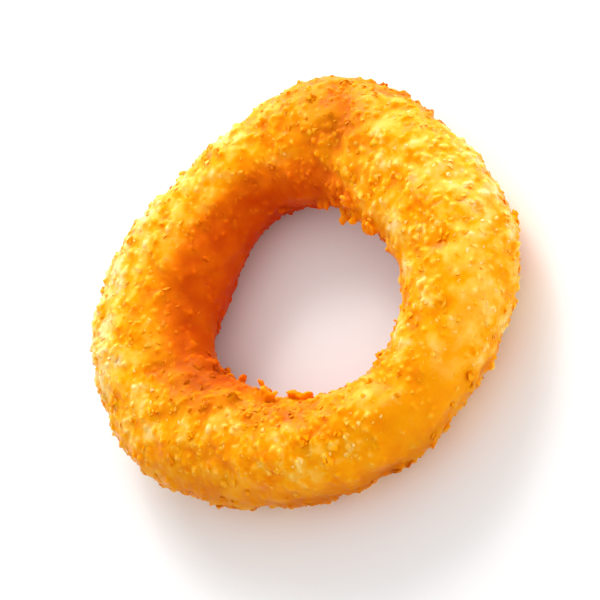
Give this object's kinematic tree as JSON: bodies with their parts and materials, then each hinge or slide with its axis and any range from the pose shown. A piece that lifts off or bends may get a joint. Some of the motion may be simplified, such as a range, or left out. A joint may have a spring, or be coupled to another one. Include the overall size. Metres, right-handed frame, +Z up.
{
  "type": "onion ring",
  "caption": "Crumbed and fried onion ring: an uneven, thick golden ring with a round section, open through the middle, lying flat on its underside.",
  "frame": {"origin": "on the surface that the ring lies on, under the middle of its outer box", "axes": "+Z up through the hole, out of the side that shows; +X and +Y lie along the surface"},
  "size_m": [0.0742, 0.0744, 0.0171],
  "materials": {
    "fried_crust": null
  },
  "bodies": {
    "root": {"ring": "fried_crust"}
  },
  "joints": []
}
